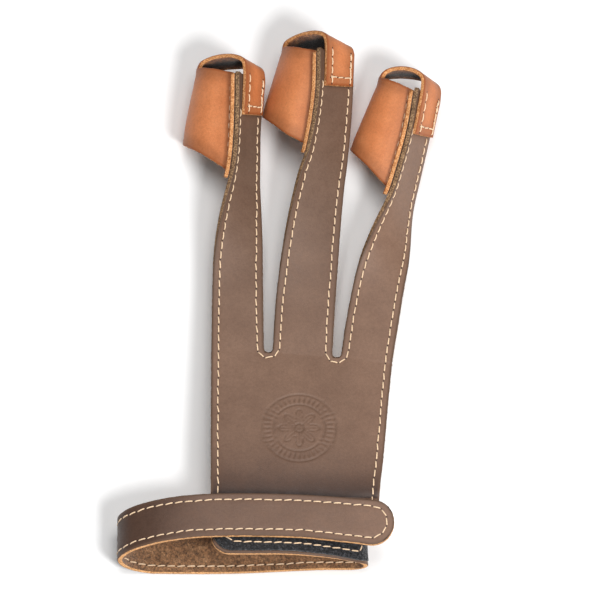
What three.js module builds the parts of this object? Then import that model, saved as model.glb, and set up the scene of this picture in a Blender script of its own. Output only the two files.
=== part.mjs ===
// Three-finger archery glove, lying with its back-of-hand side up.
// Millimetres: X runs across the hand, Y toward the fingertips, Z up.
import * as THREE from 'three';

// Leather, trim and the gap that touching pieces keep.
const handLeather = 2.0;
const stallLeather = 1.8;
const patchThickness = 1.2;
const clearance = 0.3;
const seamGap = 0.45;
const stitchMargin = 2.8;

// Hand panel.
const handWidth = 73.6;
const palmLength = 88.3;
const crotchSlope = -0.08;
const slotRadius = 1.75;
const wristHeight = 21.5;
const crotchHeight = 17;
const cornerRadius = 8;

// Wrist strap and its loop.
const strapWidth = 18.2;
const loopLeft = 72.9;
const frontReach = 37.9;

// Right bend: wide at the strap's upper edge, pressed low and tight at the wrist edge.
const bendStart = 16.8;
const tightStart = 23.6;
const wristDroop = 10;
const droopStart = -12;
const foldShift = 1.3;
const jointX = 14;

// Fingers.
const tipHeight = 22;
const tabLength = 18;
const tabSlant = 3;
const indexLength = 120.6;
const middleLength = 134.3;
const ringLength = 118.9;
const indexWidth = 21.4;
const middleWidth = 24.25;
const ringWidth = 21;

const fingers = [
  { name: 'stall_index', length: indexLength, width: indexWidth },
  { name: 'stall_middle', length: middleLength, width: middleWidth },
  { name: 'stall_ring', length: ringLength, width: ringWidth },
];

// Finger straps: along is a share of the finger's length from the slot's end to the tip, across
// a share of the hand's width, height a share of tipHeight, width a share of the finger's width.
// Roll turns the strap about its length and flare lifts its left margin, both in degrees.
const strapTables = [
  [
    { along: 0.0, across: -0.345, height: 0.773, width: 1.0, roll: 0, flare: 0 },
    { along: 0.19, across: -0.346, height: 0.72, width: 0.97, roll: 0, flare: 0 },
    { along: 0.33, across: -0.344, height: 0.71, width: 0.945, roll: 8, flare: 6 },
    { along: 0.47, across: -0.333, height: 0.76, width: 0.92, roll: 29, flare: 16 },
    { along: 0.61, across: -0.314, height: 0.83, width: 0.897, roll: 50, flare: 25 },
    { along: 0.69, across: -0.305, height: 0.885, width: 0.888, roll: 55, flare: 30 },
    { along: 0.83, across: -0.297, height: 0.97, width: 0.879, roll: 57, flare: 30 },
    { along: 1.0, across: -0.283, height: 1.075, width: 0.869, roll: 53, flare: 22 },
  ],
  [
    { along: 0.0, across: 0.0126, height: 0.773, width: 1.0, roll: 0, flare: 0 },
    { along: 0.18, across: 0.031, height: 0.76, width: 0.994, roll: 0, flare: 0 },
    { along: 0.31, across: 0.053, height: 0.8, width: 0.965, roll: 6, flare: 5 },
    { along: 0.43, across: 0.078, height: 0.88, width: 0.924, roll: 16, flare: 12 },
    { along: 0.56, across: 0.114, height: 0.985, width: 0.878, roll: 27, flare: 20 },
    { along: 0.65, across: 0.148, height: 1.063, width: 0.845, roll: 36, flare: 28 },
    { along: 0.82, across: 0.184, height: 1.153, width: 0.825, roll: 42, flare: 30 },
    { along: 1.0, across: 0.197, height: 1.248, width: 0.808, roll: 40, flare: 22 },
  ],
  [
    { along: 0.0, across: 0.367, height: 0.773, width: 1.0, roll: 0, flare: 0 },
    { along: 0.15, across: 0.402, height: 0.73, width: 1.01, roll: 0, flare: 0 },
    { along: 0.3, across: 0.443, height: 0.71, width: 0.98, roll: 4, flare: 4 },
    { along: 0.44, across: 0.495, height: 0.72, width: 0.952, roll: 32, flare: 14 },
    { along: 0.59, across: 0.553, height: 0.7, width: 0.915, roll: 58, flare: 24 },
    { along: 0.73, across: 0.609, height: 0.74, width: 0.895, roll: 63, flare: 28 },
    { along: 0.85, across: 0.655, height: 0.82, width: 0.881, roll: 64, flare: 28 },
    { along: 1.0, across: 0.702, height: 0.955, width: 0.867, roll: 62, flare: 20 },
  ],
];

// Finger stalls: the seam, the pad and the strap's cut end are measured back from the finger's
// tip as shares of its length, so are the root and crest of the fold-over band beyond it. Skew
// is how much lower the crest is on the right. The tab's width, the tube's half width, depth and
// sideways lean at mouth and tip, and its belly between them, are shares of the finger's width.
const stallShapes = [
  {
    seamEnd: 0.392, seamTop: 0.024, padMouth: 0.232, padRoot: 0.028, cut: 0.016,
    crest: 0.058, shoulder: 0.004, skew: 0.3, tab: 0.61, belly: 0,
    mouth: { half: 0.52, centre: 0.75, lean: -0.02 },
    tip: { half: 0.44, centre: 0.6, lean: -0.02 },
  },
  {
    seamEnd: 0.372, seamTop: 0.04, padMouth: 0.205, padRoot: 0.014, cut: 0.027,
    crest: 0.041, shoulder: -0.006, skew: 0.9, tab: 0.602, belly: 0.02,
    mouth: { half: 0.53, centre: 0.8, lean: -0.2 },
    tip: { half: 0.41, centre: 0.55, lean: -0.09 },
  },
  {
    seamEnd: 0.41, seamTop: 0.02, padMouth: 0.24, padRoot: 0.03, cut: 0.006,
    crest: 0.066, shoulder: 0.01, skew: 0.1, tab: 0.695, belly: 0.045,
    mouth: { half: 0.5, centre: 0.7, lean: -0.05 },
    tip: { half: 0.43, centre: 0.53, lean: -0.02 },
  },
];

// Panel outline: along is a share of palmLength from the wrist edge, left and right are the two
// edges as shares of the hand's width, lift runs from the slot's height (0) to the wrist's (1).
const panelTable = [
  { along: 0.0, left: -0.4905, right: 0.418, lift: 1, crown: 0 },
  { along: 0.23, left: -0.49, right: 0.432, lift: 1, crown: 0 },
  { along: 0.34, left: -0.489, right: 0.44, lift: 0.93, crown: 0.4 },
  { along: 0.52, left: -0.4905, right: 0.461, lift: 0.7, crown: 0.8 },
  { along: 0.78, left: -0.4905, right: 0.486, lift: 0.3, crown: 0.6 },
  { along: 1.0, left: -0.4905, right: 0.5095, lift: 0, crown: 0 },
];
const crownHeight = 1.6;

// Wrist strap beyond the right bend. Across is a share of loopLeft (negative) or frontReach,
// height a share of the front run's height, y the strap's middle and width its width as shares
// of strapWidth.
const frontHeight = wristHeight + handLeather + 2 * patchThickness + 3 * clearance;
const loopTable = [
  { x: 0.2, z: 0, y: 0.568, width: 1 },
  { x: -0.1, z: 0, y: 0.53, width: 1 },
  { x: -0.35, z: 0, y: 0.485, width: 1 },
  { x: -0.6, z: 0, y: 0.475, width: 1 },
  { x: -0.82, z: 0, y: 0.485, width: 1 },
  { x: -0.955, z: 0.19, y: 0.5, width: 1 },
  { x: -1.0, z: 0.47, y: 0.53, width: 1 },
  { x: -0.95, z: 0.73, y: 0.58, width: 1 },
  { x: -0.82, z: 0.9, y: 0.68, width: 1 },
  { x: -0.62, z: 0.99, y: 0.77, width: 1 },
  { x: -0.4, z: 1.0, y: 0.81, width: 1 },
  { x: 0.0, z: 1.0, y: 0.78, width: 1 },
  { x: 0.5, z: 1.0, y: 0.69, width: 1.03 },
  { x: 1.0, z: 1.0, y: 0.57, width: 1.08 },
];

const V = (x, y, z) => new THREE.Vector3(x, y, z);
const radians = THREE.MathUtils.degToRad;
const lerp = THREE.MathUtils.lerp;
const ease = (t) => THREE.MathUtils.smoothstep(t, 0, 1);

// Smooth curve through one column of a table, read at a value of its key column.
function read(table, key, column, at) {
  const last = table.length - 1;
  let i = 0;
  while (i < last - 1 && at > table[i + 1][key]) i += 1;
  const [a, b] = [table[i], table[i + 1]];
  const before = table[Math.max(i - 1, 0)];
  const after = table[Math.min(i + 2, last)];
  const span = b[key] - a[key];
  const t = (at - a[key]) / span;
  const slope = (from, to) => (to[column] - from[column]) / (to[key] - from[key]);
  const slopeA = slope(before, b);
  const slopeB = slope(a, after);
  if (t > 1) return b[column] + slopeB * (at - b[key]);
  const t2 = t * t;
  const t3 = t2 * t;
  return (2 * t3 - 3 * t2 + 1) * a[column] + (t3 - 2 * t2 + t) * span * slopeA
    + (3 * t2 - 2 * t3) * b[column] + (t3 - t2) * span * slopeB;
}

// A sheet of even thickness: grid points with normals, joined by cells that turn left seen from
// the side the normals point to. Its rim is closed all round.
class Sheet {
  constructor(thickness) {
    this.half = thickness / 2;
    this.points = [];
    this.normals = [];
    this.cells = [];
  }

  add(point, normal) {
    this.points.push(point);
    this.normals.push(normal);
    return this.points.length - 1;
  }

  // Rows of point numbers, each row as long as the first.
  join(rows) {
    for (let i = 0; i + 1 < rows.length; i += 1) {
      for (let j = 0; j + 1 < rows[i].length; j += 1) {
        this.cells.push([rows[i][j], rows[i][j + 1], rows[i + 1][j + 1], rows[i + 1][j]]);
      }
    }
  }

  geometry() {
    const count = this.points.length;
    const position = [];
    for (const side of [this.half, -this.half]) {
      this.points.forEach((p, i) => position.push(...p.clone().addScaledVector(this.normals[i], side)));
    }
    const index = [];
    const edges = new Set();
    for (const [a, b, c, d] of this.cells) {
      index.push(a, b, c, a, c, d, count + a, count + c, count + b, count + a, count + d, count + c);
      [[a, b], [b, c], [c, d], [d, a]].forEach(([p, q]) => edges.add(`${p},${q}`));
    }
    for (const edge of edges) {
      const [a, b] = edge.split(',').map(Number);
      if (!edges.has(`${b},${a}`)) index.push(b, a, count + a, b, count + a, count + b);
    }
    const geometry = new THREE.BufferGeometry();
    geometry.setAttribute('position', new THREE.Float32BufferAttribute(position, 3));
    geometry.setIndex(index);
    return geometry;
  }
}

// Normal of a surface at (u, v), from its own slope in both directions.
function normalAt(surface, u, v, step = 0.05) {
  const du = surface(u + step, v).sub(surface(u - step, v));
  const dv = surface(u, v + step).sub(surface(u, v - step));
  return du.cross(dv).normalize();
}

// Finger strap: its own frame at a distance from the slot's end, in millimetres.
const fingerRow = (x) => palmLength + crotchSlope * x;

function strapCentre(f, distance) {
  const { length } = fingers[f];
  const at = distance / length;
  const x = read(strapTables[f], 'along', 'across', at) * handWidth;
  const z = read(strapTables[f], 'along', 'height', at) * tipHeight;
  return V(x, fingerRow(x) + distance, z);
}

function strapFrame(f, distance) {
  const { length, width } = fingers[f];
  const at = distance / length;
  const origin = strapCentre(f, distance);
  const tangent = strapCentre(f, distance + 1).sub(strapCentre(f, distance - 1)).normalize();
  const level = tangent.clone().cross(V(0, 0, 1)).normalize();
  const row = V(1, crotchSlope, 0).normalize();
  const flat = row.lerp(level, ease(at / 0.3)).normalize();
  const up = flat.clone().cross(tangent).normalize();
  const roll = radians(read(strapTables[f], 'along', 'roll', at));
  const side = flat.clone().multiplyScalar(Math.cos(roll)).addScaledVector(up, -Math.sin(roll));
  const face = flat.clone().multiplyScalar(Math.sin(roll)).addScaledVector(up, Math.cos(roll));
  return {
    origin, tangent, side, face,
    width: width * read(strapTables[f], 'along', 'width', at),
    flare: radians(read(strapTables[f], 'along', 'flare', at)),
    place: (p, q) => origin.clone().addScaledVector(side, p).addScaledVector(face, q),
  };
}

// The slot between two straps ends in half a circle: how far its edge still is from its side.
function slotInset(distance) {
  if (distance >= slotRadius) return 0;
  return slotRadius * (1 - Math.sqrt(1 - (1 - distance / slotRadius) ** 2));
}

// Straps' sides that face a slot, by finger.
const slotLeft = [false, true, true];
const slotRight = [true, true, false];

function strapSurface(f) {
  return (across, distance) => {
    const frame = strapFrame(f, distance);
    const inset = slotRadius - slotInset(Math.max(distance, 0));
    const left = -frame.width / 2 - (slotLeft[f] ? slotRadius - inset : 0);
    const right = frame.width / 2 + (slotRight[f] ? slotRadius - inset : 0);
    const p = lerp(left, right, across);
    const margin = left + stitchMargin;
    if (p >= margin) return frame.place(p, 0);
    const beyond = margin - p;
    return frame.place(margin - beyond * Math.cos(frame.flare), beyond * Math.sin(frame.flare));
  };
}

const strapColumns = [0, 0.14, 0.38, 0.62, 0.86, 1];
const slotRows = [0, 0.13, 0.5, 1].map((share) => share * slotRadius);
const strapRows = 16;

// Panel: across is a share of its width, along a distance from the wrist edge. Near the wrist
// its right side sinks and turns down into the strap, round a bend whose turn fades up the hand.
const low = handLeather / 2;
const bendFade = (along) => 1 - ease((along - strapWidth) / (0.5 * strapWidth));

function bendAt(along) {
  const tight = Math.max(1 - along / strapWidth, 0) ** 1.5;
  const start = lerp(bendStart, tightStart, tight);
  const droop = wristDroop * tight;
  const angle = Math.atan((2 * droop) / (start - droopStart));
  const radius = (wristHeight - droop) / (1 + Math.cos(angle)) / Math.max(bendFade(along), 0.01);
  return { start, droop, angle, radius };
}

// Where the panel's middle surface lies at a run from the middle of the hand: x, z and the
// sideways shift of the fold.
function panelSection(run, along) {
  const lift = read(panelTable, 'along', 'lift', along / palmLength);
  const base = low + lerp(crotchHeight - low, wristHeight, lift);
  const { start, droop, angle, radius } = bendAt(along);
  const sink = Math.max((Math.min(run, start) - droopStart) / (start - droopStart), 0) ** 2;
  const z = base - droop * sink;
  const beyond = run - start;
  if (beyond <= 0) return [run, z, 0];
  const turn = Math.min(angle + beyond / radius, Math.PI);
  const flat = Math.max(beyond - (Math.PI - angle) * radius, 0);
  return [
    start + radius * (Math.sin(turn) - Math.sin(angle)) - flat,
    z - radius * (Math.cos(angle) - Math.cos(turn)),
    foldShift * bendFade(along) * ease((turn - angle) / (Math.PI - angle)),
  ];
}

// Run at which the strap under the wrist takes over from the panel.
function jointRun(along) {
  const { start, angle, radius } = bendAt(along);
  return start + (Math.PI - angle) * radius + start - radius * Math.sin(angle) - jointX;
}

function panelSurface(across, along) {
  const share = along / palmLength;
  const left = read(panelTable, 'along', 'left', share) * handWidth;
  const right = read(panelTable, 'along', 'right', share) * handWidth;
  const run = lerp(left, right, across);
  const [x, z, shift] = panelSection(run, along);
  const crown = read(panelTable, 'along', 'crown', share) * crownHeight;
  const arch = across > 0 && across < 1 ? crown * (1 - (2 * across - 1) ** 2) : 0;
  return V(x, along + share * crotchSlope * x + shift, z + arch);
}

// Wrist edge of the panel: its left corner is rounded.
function wristEdge(run, left) {
  const inside = run - left;
  if (inside >= cornerRadius) return 0;
  return cornerRadius - Math.sqrt(Math.max(cornerRadius ** 2 - (cornerRadius - inside) ** 2, 0));
}

const cornerShares = [0.09, 0.35];
const panelRows = [0, 0.03, 0.08, 0.14, 0.206, 0.27, 0.36, 0.48, 0.6, 0.72, 0.84, 0.93];
const wristRows = 5;
const bendColumns = 14;

function makePanel() {
  const sheet = new Sheet(handLeather);
  const left = panelTable[0].left * handWidth;
  const right = panelTable[0].right * handWidth;

  // First row of the straps, which the panel's last row shares.
  const first = fingers.map((_, f) => {
    const surface = strapSurface(f);
    return strapColumns.map((share) => surface(share, 0));
  });
  const lineup = [...first[0], ...first[1].slice(1), ...first[2].slice(1)];
  const shares = lineup.map((p) => (p.x - lineup[0].x) / (lineup.at(-1).x - lineup[0].x));
  const corners = cornerShares.map((part) => part * cornerRadius / (right - left));
  const columns = [0, ...corners, ...shares.slice(1)];

  const place = (share, along) => sheet.add(
    panelSurface(share, along),
    normalAt((u, v) => panelSurface(u / 100, v), share * 100, along),
  );
  const rows = panelRows.map((row, i) => columns.map((share) => {
    const cut = wristEdge((right - left) * share, 0);
    const fade = Math.max(1 - i / (wristRows - 1), 0);
    return place(share, row * palmLength + cut * fade);
  }));

  // The slot row, then the three straps up from it.
  const last = lineup.at(-1);
  const below = palmLength - 1;
  const slotRow = (p, share) => sheet.add(
    p,
    normalAt((u, v) => panelSurface(u / 100, v), share * 100, below),
  );
  const top = lineup.map((p, j) => slotRow(p, shares[j]));
  const corner = corners.map((share) => slotRow(lineup[0].clone().lerp(last, share), share));
  rows.push([top[0], ...corner, ...top.slice(1)]);
  sheet.join(rows);

  fingers.forEach(({ length }, f) => {
    const surface = strapSurface(f);
    const from = f * (strapColumns.length - 1);
    const grid = [top.slice(from, from + strapColumns.length)];
    const list = [...strapColumns];
    if (f === 0) {
      const stretch = (last.x - lineup[0].x) / (first[0].at(-1).x - lineup[0].x);
      grid[0].splice(1, 0, ...corner);
      list.splice(1, 0, ...corners.map((share) => share * stretch));
    }
    const stations = slotRows.slice(1);
    for (let i = 1; i <= strapRows; i += 1) {
      stations.push(lerp(slotRadius, length * (1 - stallShapes[f].cut), i / strapRows));
    }
    stations.forEach((distance) => grid.push(list.map((share) => sheet.add(
      surface(share, distance),
      normalAt((u, v) => surface(u / 20, v), share * 20, distance),
    ))));
    sheet.join(grid);
  });

  // Right bend, as far as the joint with the strap.
  const bend = rows.slice(0, wristRows).map((row, i) => {
    const along = panelRows[i] * palmLength;
    const edge = read(panelTable, 'along', 'right', panelRows[i]) * handWidth;
    const list = [row.at(-1)];
    for (let j = 1; j <= bendColumns; j += 1) {
      const run = lerp(edge, jointRun(along), j / bendColumns);
      const bendPoint = (u, v) => {
        const [x, z, shift] = panelSection(u, v);
        return V(x, v + (v / palmLength) * crotchSlope * x + shift, z);
      };
      list.push(sheet.add(bendPoint(run, along), normalAt(bendPoint, run, along)));
    }
    return list;
  });
  sheet.join(bend);
  return sheet.geometry();
}

// The tube's oval runs round the finger between these turns, in degrees.
const tubeFrom = 148;
const tubeTo = 392;
const tubeStep = 24.4;

// Finger stall section: half of the seam's flange lies under the strap's margin, the tube hangs
// below it. Numbers are across and out from the strap's middle plane.
function stallSection(f, frame, along) {
  const shape = stallShapes[f];
  const { width } = fingers[f];
  const step = handLeather / 2 + seamGap + stallLeather / 2;
  const mix = (name) => width * lerp(shape.mouth[name], shape.tip[name], along);
  const belly = shape.belly * width * Math.sin(Math.PI * along);
  const [half, centre, lean] = [mix('half'), mix('centre') + belly / 2, mix('lean') - belly];
  const depth = centre - step / 2;
  const { flare } = frame;
  const seam = frame.width / 2 - stitchMargin;
  const inward = V(-Math.sin(flare), -Math.cos(flare), 0);
  const stitch = V(-seam, 0, 0).addScaledVector(inward, step);
  const rim = V(-seam - stitchMargin * Math.cos(flare), stitchMargin * Math.sin(flare), 0)
    .addScaledVector(inward, step);
  const oval = (degrees) => V(
    lean + half * Math.cos(radians(degrees)),
    -centre + depth * Math.sin(radians(degrees)),
    0,
  );
  const points = [rim, stitch];
  for (let turn = tubeFrom; turn <= tubeTo; turn += tubeStep) points.push(oval(turn));
  points.push(V(seam, -step, 0), V(frame.width / 2, -step, 0));
  return new THREE.CatmullRomCurve3(points, false, 'centripetal');
}

const stallColumns = 30;
const stallRows = 10;
const bandRows = 16;
const bandLeft = 4;
const bandRight = 2;
const archTurns = [25, 55, 90, 125, 155];

function stallSurface(f) {
  const { length } = fingers[f];
  const shape = stallShapes[f];
  return (section, rise) => {
    const dip = Math.max(Math.sin(Math.PI * section), 0) ** 1.15;
    const start = -length * lerp(shape.seamEnd, shape.padMouth, dip);
    const end = length * lerp(-shape.seamTop, shape.padRoot, dip);
    const distance = length + lerp(start, end, rise);
    const frame = strapFrame(f, distance);
    const along = THREE.MathUtils.clamp(1 + (distance - length) / (length * shape.seamEnd), 0, 1);
    const at = stallSection(f, frame, along).getPoint(THREE.MathUtils.clamp(section, 0, 1));
    return frame.place(at.x, at.y);
  };
}

// Fold-over band: from the pad, round the fingertip and back on the strap's outer face.
function bandSurface(f, columns) {
  const { length } = fingers[f];
  const shape = stallShapes[f];
  const body = stallSurface(f);
  const frame = strapFrame(f, length);
  const outer = handLeather / 2 + clearance + stallLeather / 2;
  const local = (point) => {
    const d = point.clone().sub(frame.origin);
    return V(d.dot(frame.side), d.dot(frame.face), d.dot(frame.tangent));
  };
  const roots = columns.map((section) => local(body(section, 1)));
  const deepest = Math.min(...roots.map((r) => r.y));
  const tabCentre = (stitchMargin - clearance) / 4;
  const flatWidth = fingers[f].width * shape.tab;
  return (j, rise) => {
    const root = roots[j];
    const share = j / (columns.length - 1) - 0.5;
    const p = tabCentre + share * flatWidth;
    const soft = root.y - deepest;
    const crest = length * shape.crest * (1 - shape.skew * (share + 0.5));
    const shoulder = length * shape.shoulder;
    const arch = archTurns.map((degrees) => {
      const turn = radians(degrees);
      const over = (1 - Math.cos(turn)) / 2;
      return V(
        lerp(root.x, p, over),
        lerp(deepest, outer, over) + soft * (1 - over) ** 2,
        lerp(root.z, shoulder, over) + (crest - lerp(root.z, shoulder, over)) * Math.sin(turn) ** 0.85,
      );
    });
    const path = [
      root,
      ...arch,
      V(p, outer, shoulder - stallLeather),
      V(p, outer, -0.5 * (tabLength - share * tabSlant)),
      V(p, outer, -(tabLength - share * tabSlant)),
    ];
    const at = new THREE.CatmullRomCurve3(path, false, 'centripetal').getPoint(rise);
    if (at.z >= 0) {
      return frame.origin.clone().addScaledVector(frame.side, at.x)
        .addScaledVector(frame.face, at.y).addScaledVector(frame.tangent, at.z);
    }
    return strapFrame(f, length + at.z).place(at.x, at.y);
  };
}

function makeStall(f) {
  const sheet = new Sheet(stallLeather);
  const body = stallSurface(f);
  const columns = Array.from({ length: stallColumns + 1 }, (_, j) => j / stallColumns);
  const outward = (u, v) => normalAt((a, b) => body(a / 100, b / 100), u * 100, v * 100, 0.4);
  const rows = [];
  for (let i = 0; i <= stallRows; i += 1) {
    rows.push(columns.map((section) => {
      const rise = i / stallRows;
      const inside = THREE.MathUtils.clamp(section, 0.005, 0.995);
      return sheet.add(body(section, rise), outward(inside, rise));
    }));
  }
  sheet.join(rows);

  const middle = stallColumns / 2;
  const picked = columns.slice(middle - bandLeft, middle + bandRight + 1);
  const band = bandSurface(f, picked);
  const grid = [rows.at(-1).slice(middle - bandLeft, middle + bandRight + 1)];
  for (let i = 1; i <= bandRows; i += 1) {
    const rise = i / bandRows;
    grid.push(picked.map((_, j) => {
      const before = band(Math.max(j - 1, 0), rise);
      const after = band(Math.min(j + 1, picked.length - 1), rise);
      const back = band(j, Math.max(rise - 0.01, 0));
      const forth = band(j, Math.min(rise + 0.01, 1));
      const normal = after.sub(before).cross(forth.sub(back)).normalize();
      return sheet.add(band(j, rise), normal);
    }));
  }
  sheet.join(grid);
  return sheet.geometry();
}

// Wrist strap's middle line: the palm run, the left bend and the front run with its round end.
function loopPath() {
  const middle = strapWidth / 2 + foldShift;
  const points = [{ x: jointX, z: low, y: middle, width: 1 }];
  loopTable.forEach((row) => points.push({
    x: row.x * (row.x < 0 ? loopLeft : frontReach),
    z: low + row.z * (frontHeight - low + handLeather / 2),
    y: row.y * strapWidth,
    width: row.width,
  }));
  return points;
}

const loopPoints = loopPath();
const fineStep = 0.001;
const loopCurve = new THREE.CatmullRomCurve3(loopPoints.map((p) => V(p.x, p.y, p.z)), false, 'centripetal');
loopCurve.arcLengthDivisions = 600;
const loopLength = loopCurve.getLength();

// The palm run lies flat on the surface below.
function loopPoint(at) {
  const point = loopCurve.getPointAt(THREE.MathUtils.clamp(at, 0, 1));
  point.z = Math.max(point.z, handLeather / 2);
  return point;
}

function loopFrame(distance) {
  const at = THREE.MathUtils.clamp(distance / loopLength, 0, 1);
  const origin = loopPoint(at);
  const tangent = loopPoint(at + fineStep).sub(loopPoint(at - fineStep)).normalize();
  const face = tangent.clone().cross(V(0, 1, 0)).normalize();
  const side = face.clone().cross(tangent).normalize();
  const place = loopCurve.getUtoTmapping(at) * (loopPoints.length - 1);
  const i = Math.min(Math.floor(place), loopPoints.length - 2);
  const broad = lerp(loopPoints[i].width, loopPoints[i + 1].width, ease(place - i));
  return { origin, tangent, face, side, broad };
}

function ribbon(from, to, width, thickness, offset, rounding, count) {
  const sheet = new Sheet(thickness);
  const distances = [];
  for (let i = 0; i <= count; i += 1) distances.push(lerp(from, to - rounding, i / count));
  for (const angle of [20, 40, 60, 78]) {
    if (rounding > 0) distances.push(to - rounding + rounding * Math.sin(radians(angle)));
  }
  const rows = distances.map((distance) => {
    const frame = loopFrame(distance);
    const beyond = Math.max((distance - (to - rounding)) / Math.max(rounding, 1), 0);
    const half = (width / 2) * frame.broad * Math.sqrt(1 - Math.min(beyond, 0.98) ** 2);
    return [-1, -0.5, 0, 0.5, 1].map((share) => sheet.add(
      frame.origin.clone().addScaledVector(frame.side, -share * half).addScaledVector(frame.face, offset),
      frame.face,
    ));
  });
  sheet.join(rows);
  return sheet.geometry();
}

const makeStrap = () => ribbon(clearance, loopLength, strapWidth, handLeather, 0, strapWidth / 2, 56);

// Hook patch under the front run, loop patch on the panel beneath it.
const patchInset = 1;
const patchEnd = 4;
const hookStart = 0.62;

function makeHook() {
  const offset = -(handLeather / 2 + clearance + patchThickness / 2);
  const end = loopLength - strapWidth / 2;
  return ribbon(loopLength * hookStart, end, strapWidth - 2 * patchInset, patchThickness, offset, 0, 26);
}

function makeLoop() {
  const sheet = new Sheet(patchThickness);
  const offset = handLeather / 2 + clearance + patchThickness / 2;
  const left = panelTable[0].left * handWidth;
  const right = panelTable[0].right * handWidth;
  const top = strapWidth - patchInset;
  const rows = [0, 0.2, 0.5, 1].map((share) => {
    const list = [];
    for (let j = 0; j <= 22; j += 1) {
      const run = lerp(left + patchInset, right - patchEnd, (j / 22) ** 1.15);
      const cut = wristEdge(run - left - patchInset, 0) + patchInset;
      const along = lerp(cut, top, share);
      const across = (run - left) / (right - left);
      const normal = normalAt((u, v) => panelSurface(u / 100, v), across * 100, along);
      list.push(sheet.add(panelSurface(across, along).addScaledVector(normal, offset), normal));
    }
    return list;
  });
  sheet.join(rows);
  return sheet.geometry();
}

const colours = { hand: 0x88695b, stall: 0xcb8358, patch: 0x25262a };

function piece(name, geometry, color, roughness) {
  geometry.computeVertexNormals();
  const material = new THREE.MeshStandardMaterial({ color, roughness, metalness: 0 });
  const mesh = new THREE.Mesh(geometry, material);
  mesh.name = name;
  return mesh;
}

const glove = new THREE.Group();
glove.add(piece('back_panel', makePanel(), colours.hand, 0.55));
glove.add(piece('wrist_strap', makeStrap(), colours.hand, 0.55));
glove.add(piece('loop_patch', makeLoop(), colours.patch, 0.9));
glove.add(piece('hook_patch', makeHook(), colours.patch, 0.9));
fingers.forEach(({ name }, f) => glove.add(piece(name, makeStall(f), colours.stall, 0.5)));

// The origin is the middle of the glove's footprint, on the surface that it lies on.
const box = new THREE.Box3().setFromObject(glove);
const centre = box.getCenter(V(0, 0, 0));
glove.position.set(-centre.x, -centre.y, -box.min.z);

export default glove;
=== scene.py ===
"""Three-finger archery glove in leather, lying with its back-of-hand side up.

Shapes are worked out in millimetres: X across the hand, Y toward the fingertips, Z up. Angles
in the constants and tables are in degrees.
"""

import math
import random

import bpy
import numpy as np
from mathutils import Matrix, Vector
from mathutils.bvhtree import BVHTree
from mathutils.kdtree import KDTree


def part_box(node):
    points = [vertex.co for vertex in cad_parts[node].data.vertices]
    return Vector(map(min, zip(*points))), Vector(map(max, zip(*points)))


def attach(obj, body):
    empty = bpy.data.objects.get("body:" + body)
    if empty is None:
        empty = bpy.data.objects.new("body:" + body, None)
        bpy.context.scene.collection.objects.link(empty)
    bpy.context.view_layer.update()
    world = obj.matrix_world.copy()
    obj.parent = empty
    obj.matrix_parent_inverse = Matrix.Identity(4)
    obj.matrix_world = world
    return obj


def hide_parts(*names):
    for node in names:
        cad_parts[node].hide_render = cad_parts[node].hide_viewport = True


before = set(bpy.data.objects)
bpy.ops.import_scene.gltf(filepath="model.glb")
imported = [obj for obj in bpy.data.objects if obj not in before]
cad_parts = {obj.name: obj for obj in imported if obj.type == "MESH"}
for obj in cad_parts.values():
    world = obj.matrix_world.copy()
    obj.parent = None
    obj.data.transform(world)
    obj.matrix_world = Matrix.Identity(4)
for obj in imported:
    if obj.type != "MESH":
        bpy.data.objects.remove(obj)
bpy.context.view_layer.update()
random.seed(11)

MM = 0.001
BODY = "root"

# Leather, trim and the gap that touching pieces keep.
HAND_LEATHER = 2.0
STALL_LEATHER = 1.8
PATCH = 1.2
CLEARANCE = 0.3
SEAM_GAP = 0.45
STITCH_MARGIN = 2.8

# Steps over which a surface's slope is read: in mm, and as a share of the wrist loop's length.
NEAR = 0.2
NEAR_SHARE = 0.001

# Hand panel.
HAND_WIDTH = 73.6
PALM_LENGTH = 88.3
CROTCH_SLOPE = -0.08
SLOT_RADIUS = 1.75
WRIST_HEIGHT = 21.5
CROTCH_HEIGHT = 17
CORNER_RADIUS = 8
CROWN_HEIGHT = 1.6

# Wrist strap and its loop.
STRAP_WIDTH = 18.2
LOOP_LEFT = 72.9
FRONT_REACH = 37.9
BEND_START = 16.8
TIGHT_START = 23.6
WRIST_DROOP = 10
DROOP_START = -12
FOLD_SHIFT = 1.3
JOINT_X = 14
FRONT_HEIGHT = WRIST_HEIGHT + HAND_LEATHER + 2 * PATCH + 3 * CLEARANCE

# Fingers: index, middle and ring. A strap turns level over LEVEL_SHARE of its length. The tube is
# the stall's round part, and the arch is the band's way over the fingertip.
TIP_HEIGHT = 22
LEVEL_SHARE = 0.3
TAB_LENGTH = 18
TAB_SLANT = 3
TUBE_FROM = 148
TUBE_TO = 392
TUBE_STEP = 24.4
PAD_FULLNESS = 1.15
ARCH_TURNS = [25, 55, 90, 125, 155]
ARCH_FULLNESS = 0.85
FINGERS = ["index", "middle", "ring"]
FINGER_LENGTH = [120.6, 134.3, 118.9]
FINGER_WIDTH = [21.4, 24.25, 21]

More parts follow.
